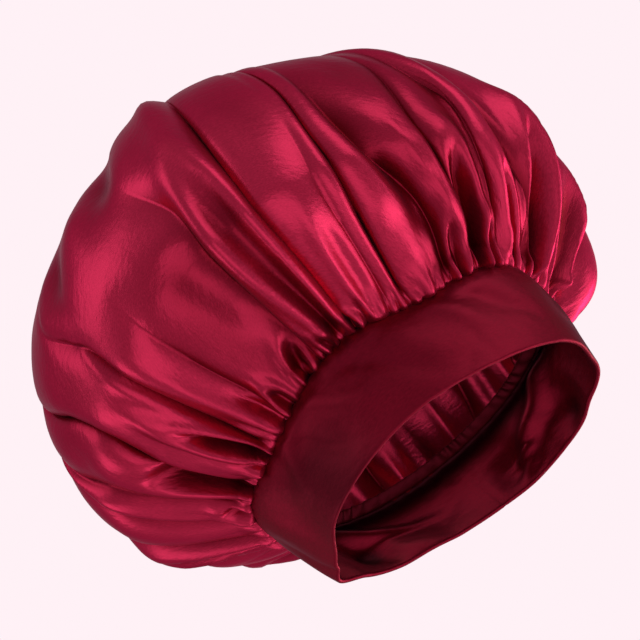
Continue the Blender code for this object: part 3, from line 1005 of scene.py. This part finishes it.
@dataclass
class Band:
    """The wide elastic band: satin folded double at the rim, with soft dents and pulled wrinkles.

    The elastic pulls up a fine ripple at the seam, and the band's own join is a thin line down its wall.
    The outside of the two ends that turn away from the light gets painted shade, and so do the hollows and
    the top of the inside. left_end, right_end and slot_fade say where, as the crown's fades do. hollow_mm
    and left_share are pairs of where the painted shade starts and the stretch over which it sets in.
    """

    crown: Crown
    width: float = 0.060
    rim_half_length: float = 0.091
    rim_half_width: float = 0.065
    rim_shift: tuple[float, float] = (0.008, -0.006)
    wall: float = 0.0026
    gap: float = 0.0003
    belly: float = 0.0035
    belly_power: float = 0.6
    corner_pinch: float = 0.12
    rim_lift: float = 0.007
    rim_lean: float = 1.28
    lifted_degrees: float = 90.0
    columns: int = 360
    wall_rows: int = 34
    edge_rows: int = 7
    rim_share: float = 0.985
    share_step: float = 0.004
    join_degrees: float = 89.0
    join_half_degrees: float = 0.55
    join_depth_mm: float = 0.45
    wrinkles: Wrinkles = Wrinkles()
    ripples: int = 61
    ripple_mm: float = 0.30
    ripple_share: float = 0.10
    ripple_drift: tuple[float, int] = (2.0, 7)
    hollow_mm: tuple[float, float] = (3.0, 3.5)
    hollow_shade: float = 0.9
    slot_fade: tuple[float, float] = (0.34, 0.26)
    left_end: tuple[float, float, float] = (-128.0, 34.0, 34.0)
    left_share: tuple[float, float] = (0.10, 0.45)
    left_shade: float = 0.6
    right_end: tuple[float, float, float] = (6.0, 36.0, 30.0)
    right_shade: float = 0.7

    def rim(self, degrees: np.ndarray) -> np.ndarray:
        """The free edge, whose two ends are pinched to soft corners.

        Args:
            degrees: Azimuths.

        Returns:
            Its points.
        """
        azimuth = np.radians(degrees)
        shift = line_shift(RIM_LINE, degrees)
        across = np.copysign(np.abs(np.sin(azimuth)) ** (1.0 + self.corner_pinch), np.sin(azimuth))
        x = self.rim_shift[0] + (self.rim_half_length + shift) * np.cos(azimuth)
        y = self.rim_shift[1] + (self.rim_half_width + shift) * across
        lift = 0.5 + 0.5 * np.cos(np.radians(turn_between(self.lifted_degrees, degrees)))
        return vectors(x, y + self.rim_lean * self.rim_lift * lift, -self.width + self.rim_lift * lift)

    def relief(self, degrees: np.ndarray, share: np.ndarray) -> np.ndarray:
        """How far folds, dents and wrinkles move the band's wall outwards.

        Args:
            degrees: Azimuths of the vertices.
            share: Shares of the vertices.

        Returns:
            The move of each vertex, in metres.
        """
        height = folds_height(BAND_FOLDS, degrees, share)
        for dent in BAND_DENTS:
            offset = turn_between(dent.degrees, degrees) / dent.half_degrees
            rise = (share - dent.share) / dent.half_share
            inside = (np.abs(offset) < 1.0) & (np.abs(rise) < 1.0)
            height -= dent.depth_mm * np.where(inside, ((1.0 - offset ** 2) * (1.0 - rise ** 2)) ** 2, 0.0)
        ranges = self.wrinkles
        chance = np.random.default_rng(ranges.seed)
        for _ in range(ranges.count):
            place, level = chance.uniform(-HALF_TURN, HALF_TURN), chance.uniform(*ranges.share)
            slant, long = chance.uniform(*ranges.slant_degrees), chance.uniform(*ranges.half_share)
            wide, tall = chance.uniform(*ranges.half_degrees), chance.uniform(*ranges.height_mm)
            rise = (share - level) / long
            height += tall * bell(turn_between(place + slant * rise, degrees) / wide, rise)
        drift, drifts = self.ripple_drift
        ripple = np.sin(np.radians(degrees * self.ripples) + drift * np.sin(np.radians(degrees * drifts)))
        height += self.ripple_mm * bell(share / self.ripple_share) * ripple
        return MM * height

    def middle(self, degrees: np.ndarray, share: np.ndarray) -> np.ndarray:
        """The middle of the band's wall.

        Args:
            degrees: Azimuths.
            share: Shares of the way from the seam (0) to the rim (1).

        Returns:
            Its points.
        """
        top = self.crown.seam(degrees) - (0.0, 0.0, self.gap)
        point = top + share[..., None] * (self.rim(degrees) - top)
        outward = vectors(np.cos(np.radians(degrees)), np.sin(np.radians(degrees)), 0.0)
        swell = self.belly * np.sin(math.pi * share ** self.belly_power) + self.relief(degrees, share)
        return point + swell[..., None] * outward

    def place(self, around: np.ndarray, up: np.ndarray) -> Spread:
        """Place the band's vertices, whose rows run down its outside, round the rim and up its inside.

        Args:
            around: Their parts of the way round the grid.
            up: Their parts of the way up it.

        Returns:
            Their places.
        """
        shares = np.linspace(0.0, self.rim_share, self.wall_rows)
        turn = np.linspace(0.0, math.pi, self.edge_rows + 2)[1:-1]
        zeros, ones = np.zeros(len(shares)), np.ones(len(shares))
        row = np.rint(up * self.rows()).astype(int) % self.rows()
        rim = np.full(len(turn), self.rim_share)
        share = np.concatenate([shares, rim, shares[::-1], np.zeros(len(turn))])[row]
        side = np.concatenate([ones, np.cos(turn), -ones, -np.cos(turn)])[row]
        bulge = np.concatenate([zeros, np.sin(turn), zeros, -np.sin(turn)])[row]
        degrees = (around % 1.0) * FULL_TURN - HALF_TURN
        above = np.maximum(share - self.share_step, 0.0)
        below = np.minimum(share + self.share_step, 1.0)
        across = self.middle(degrees + TURN_STEP, share) - self.middle(degrees - TURN_STEP, share)
        down = unit(self.middle(degrees, below) - self.middle(degrees, above))
        normal = unit(np.cross(down, across))
        join = bell(turn_between(self.join_degrees, degrees) / self.join_half_degrees)
        half = 0.5 * self.wall - self.join_depth_mm * MM * join
        points = self.middle(degrees, share) + (half * side)[:, None] * normal
        points = points + (0.5 * self.wall * bulge)[:, None] * down
        flat = np.stack([around * 2.0 * math.pi * self.rim_half_length, up * 2.0 * self.width], axis=-1)
        # Painted shade: darker in the inside's hollows and at its top by the seam, and on the outside of the
        # two ends that turn away from the light.
        least, stretch = self.hollow_mm
        hollow = self.hollow_shade * smooth_step((self.relief(degrees, share) / MM - least) / stretch)
        inside = smooth_step(-side) * np.maximum(hollow, fade_out(share, *self.slot_fade))
        start, stretch = self.left_share
        left = self.left_shade * fade_aside(degrees, *self.left_end) * smooth_step((share - start) / stretch)
        right = self.right_shade * fade_aside(degrees, *self.right_end)
        return Spread(points, flat, inside + smooth_step(side) * (left + right))

    def rows(self) -> int:
        """How many rows go round the band's folded wall."""
        return 2 * (self.wall_rows + self.edge_rows)

    def build(self) -> bpy.types.Object:
        """The band as one closed tube of cloth, round its rim and over its top edge.

        Returns:
            The piece.
        """
        mesh = round_sheet(self.columns, self.rows(), self.place)
        bmesh.ops.recalc_face_normals(mesh, faces=mesh.faces)
        return add_piece("band_satin", mesh)

    def dress(self, piece: bpy.types.Object, finish: SatinFinish) -> None:
        """Give the band its satin, and tie it to the frame.

        Args:
            piece: The band.
            finish: Its satin.
        """
        piece.data.materials.append(finish.material(piece.data.uv_layers[0].name))
        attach(piece, "root")
        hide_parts("band")


# ---------------------------------------------------------------- seam allowance


@dataclass
class SeamAllowance:
    """The raw edges inside the gathering seam: a ruffled strip.

    Its waves swing as much as strength says, an even part and one that comes and goes in groups, and
    drifts shift them sideways: radians, and waves all round.
    """

    crown: Crown
    band_wall: float = 0.0026
    width: float = 0.0078
    wall: float = 0.0012
    gap: float = 0.0003
    drop: float = 0.0014
    tilt_degrees: float = 37.0
    waves: int = 76
    swing: float = 0.0010
    strength: tuple[float, float] = (0.6, 0.4)
    groups: int = 9
    drifts: tuple[tuple[float, int], ...] = ((1.3, 5), (2.1, 13))
    columns: int = 760
    rows: int = 12

    def point(self, degrees: np.ndarray, share: np.ndarray, side: np.ndarray) -> np.ndarray:
        """The faces of the ruffled strip.

        Args:
            degrees: Azimuths.
            share: Shares of the way from the seam (0) to the strip's free edge (1).
            side: How far towards the upper face (1) or the lower one (-1).

        Returns:
            Its points.
        """
        seam = self.crown.seam(degrees)
        inward = inwards(seam)
        tilt = math.radians(self.tilt_degrees)
        up = np.array((0.0, 0.0, 1.0))
        slope = math.cos(tilt) * inward + math.sin(tilt) * up
        normal = math.cos(tilt) * up - math.sin(tilt) * inward
        root = seam + (0.5 * (self.band_wall + self.wall) + self.gap) * inward - self.drop * up
        angle = np.radians(degrees)
        drift = sum(wide * np.sin(count * angle) for wide, count in self.drifts)
        even, grouped = self.strength
        ruffle = (even + grouped * np.sin(self.groups * angle)) * np.cos(self.waves * angle + drift)
        lift = self.swing * ruffle * share + 0.5 * side * self.wall
        return root + (share * self.width)[..., None] * slope + lift[..., None] * normal

    def place(self, around: np.ndarray, up: np.ndarray) -> Spread:
        """Place the strip's vertices, whose rows run round its thickness.

        Args:
            around: Their parts of the way round the grid.
            up: Their parts of the way up it.

        Returns:
            Their places.
        """
        turn = 2.0 * math.pi * (up % 1.0)
        degrees = (around % 1.0) * FULL_TURN - HALF_TURN
        points = self.point(degrees, 0.5 - 0.5 * np.cos(turn), np.sin(turn))
        length = 2.0 * math.pi * self.crown.seam_half_length
        flat = np.stack([around * length, up * 2.0 * self.width], axis=-1)
        return Spread(points, flat, np.zeros(len(up)))

    def build(self) -> bpy.types.Object:
        """The ruffled strip as one closed tube of cloth.

        Returns:
            The piece.
        """
        mesh = round_sheet(self.columns, self.rows, self.place)
        bmesh.ops.recalc_face_normals(mesh, faces=mesh.faces)
        return add_piece("seam_allowance", mesh)

    def dress(self, piece: bpy.types.Object, finish: SatinFinish) -> None:
        """Give the strip its cloth, and tie it to the frame.

        Args:
            piece: The strip.
            finish: Its cloth.
        """
        piece.data.materials.append(finish.material(piece.data.uv_layers[0].name))
        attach(piece, "root")
        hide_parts("seam_ruffle")


# ---------------------------------------------------------------- studio


@dataclass
class Softbox:
    """A soft light: its way from the bonnet, distance and size in metres, and brightness (paper is 1)."""

    name: str
    toward: tuple[float, float, float]
    distance: float
    size: float
    brightness: float

    def power(self) -> float:
        """The power in watts that makes its face that bright."""
        return self.brightness * math.pi * self.size ** 2


@dataclass
class Studio:
    """Camera, soft lights, backdrop colour and floor, with the camera's angles in degrees."""

    azimuth: float = 1.7
    elevation: float = -38.0
    roll: float = -39.1
    target: tuple[float, float, float] = (-0.0041, 0.0, 0.0841)
    distance: float = 1.25
    focal_pixels: float = 2127.0
    picture_width: int = 640
    sensor_mm: float = 36.0
    floor_level: float = -2.2
    floor_size: float = 30.0
    backdrop: str = "fff1f6"
    surroundings: float = 0.42

    def axes(self) -> tuple[Vector, Vector, Vector]:
        """The view's own directions.

        Returns:
            Its right, up and backward directions.
        """
        turn, lift, roll = (math.radians(x) for x in (self.azimuth, self.elevation, self.roll))
        back = Vector((math.sin(turn) * math.cos(lift), -math.cos(turn) * math.cos(lift), math.sin(lift)))
        right = Vector((0.0, 0.0, 1.0)).cross(back).normalized()
        up = back.cross(right)
        rolled = math.cos(roll) * up - math.sin(roll) * right
        return math.cos(roll) * right + math.sin(roll) * up, rolled, back

    def add_camera(self) -> None:
        """Add the camera at the photograph's angle."""
        right, up, back = self.axes()
        data = bpy.data.cameras.new("camera")
        data.sensor_width = self.sensor_mm
        data.lens = self.focal_pixels * self.sensor_mm / self.picture_width
        camera = bpy.data.objects.new("camera", data)
        turned = Matrix((right, up, back)).transposed().to_4x4()
        camera.matrix_world = Matrix.Translation(Vector(self.target) + self.distance * back) @ turned
        bpy.context.scene.collection.objects.link(camera)
        bpy.context.scene.camera = camera

    def add_light(self, box: Softbox) -> None:
        """Add one softbox, aimed at the bonnet.

        Args:
            box: The softbox, whose way is given along the view's right, up and backward directions.
        """
        direction = sum((part * axis for part, axis in zip(box.toward, self.axes())), Vector()).normalized()
        data = bpy.data.lights.new(box.name, "AREA")
        data.shape = "SQUARE"
        data.size = box.size
        data.energy = box.power()
        light = bpy.data.objects.new(box.name, data)
        light.location = Vector(self.target) + box.distance * direction
        light.rotation_mode = "QUATERNION"
        light.rotation_quaternion = direction.to_track_quat("Z", "Y")
        light.visible_camera = False
        bpy.context.scene.collection.objects.link(light)

    def add_backdrop(self) -> None:
        """A pale backdrop for the camera, and dimmer surroundings for the cloth to reflect."""
        world = bpy.data.worlds.new("studio")
        world.use_nodes = True
        tree = world.node_tree
        tree.nodes.clear()
        path = add_node(tree, "ShaderNodeLightPath")
        pale = linear(self.backdrop)
        around, seen = (
            add_node(tree, "ShaderNodeBackground", inputs={"Color": pale, "Strength": strength})
            for strength in (self.surroundings, 1.0)
        )
        mixed = add_node(tree, "ShaderNodeMixShader", inputs={
            0: path.outputs["Is Camera Ray"],
            1: around.outputs["Background"],
            2: seen.outputs["Background"],
        })
        add_node(tree, "ShaderNodeOutputWorld", inputs={"Surface": mixed.outputs["Shader"]})
        bpy.context.scene.world = world

    def add_floor(self) -> None:
        """Add the plain pale floor, far below the bonnet."""
        mesh = bmesh.new()
        bmesh.ops.create_grid(mesh, x_segments=1, y_segments=1, size=0.5 * self.floor_size)
        bmesh.ops.translate(mesh, vec=(0.0, 0.0, self.floor_level), verts=mesh.verts)
        floor = add_piece("floor", mesh)
        floor.data.materials.append(PaperFinish().material())

    def build(self, lights: tuple[Softbox, ...]) -> None:
        """Set up the whole studio.

        Args:
            lights: Its soft lights.
        """
        self.add_camera()
        self.add_backdrop()
        self.add_floor()
        for box in lights:
            self.add_light(box)
        bpy.context.scene.view_settings.view_transform = "Standard"


LIGHTS = (
    Softbox("softbox_left", (-1.0, 0.20, 0.10), 1.5, 1.0, 1.0),
    Softbox("softbox_right", (1.0, -0.15, 0.38), 1.5, 1.0, 1.9),
    Softbox("softbox_side", (0.95, 0.20, -0.12), 1.5, 0.8, 1.5),
    Softbox("softbox_top", (0.30, 1.0, 0.25), 1.5, 1.1, 1.15),
    Softbox("softbox_low_left", (-0.75, -0.75, 0.20), 1.5, 0.8, 1.3),
    Softbox("softbox_low_right", (0.50, -0.90, 0.22), 1.5, 0.8, 1.5),
    Softbox("softbox_rim", (0.86, -0.25, -0.42), 1.5, 1.0, 5.6),
    Softbox("softbox_front", (0.10, -0.15, 1.0), 1.5, 1.2, 0.72),
    Softbox("glow_inside", (-0.497, 0.612, -0.616), 0.06, 0.16, 0.9),
)

# The crown's cloth lies loose, so its floats stand up: the brightest, with long pale streaks on its folds.
CROWN_SATIN = SatinFinish(
    "crown_satin", face="bf284b", pocket="640310", roughness=0.33, metallic=0.88, sheen=0.04,
)
# The same satin, pulled flat and doubled over elastic, with a darker face colour than the crown's, a
# near-black colour for its painted shade, and a broader and duller shine.
BAND_SATIN = SatinFinish(
    "band_satin", face="780c23", pocket="2a030a", roughness=0.42, metallic=0.80, sheen=0.03, anisotropy=0.3,
)
# Its raw edges, crushed by the seam: the least glossy, and coloured darkest as painted shade, for the shade
# of the opening.
SEAM_SATIN = SatinFinish(
    "seam_satin", face="4e0614", pocket="4e0614", roughness=0.50, metallic=0.8, sheen=0.0, anisotropy=0.2,
)


def report(piece: bpy.types.Object) -> None:
    """Log a piece's name and size."""
    log.info("%s: %d vertices, %d faces", piece.name, len(piece.data.vertices), len(piece.data.polygons))


def main() -> None:
    """Set up the studio, then build and dress the bonnet's pieces in order."""
    logging.basicConfig(level=logging.INFO, format="%(name)s: %(message)s")
    Studio().build(LIGHTS)
    crown = Crown()
    makers = (crown, Band(crown), SeamAllowance(crown))
    for maker, finish in zip(makers, (CROWN_SATIN, BAND_SATIN, SEAM_SATIN)):
        piece = maker.build()
        maker.dress(piece, finish)
        report(piece)


if __name__ == "__main__":
    main()
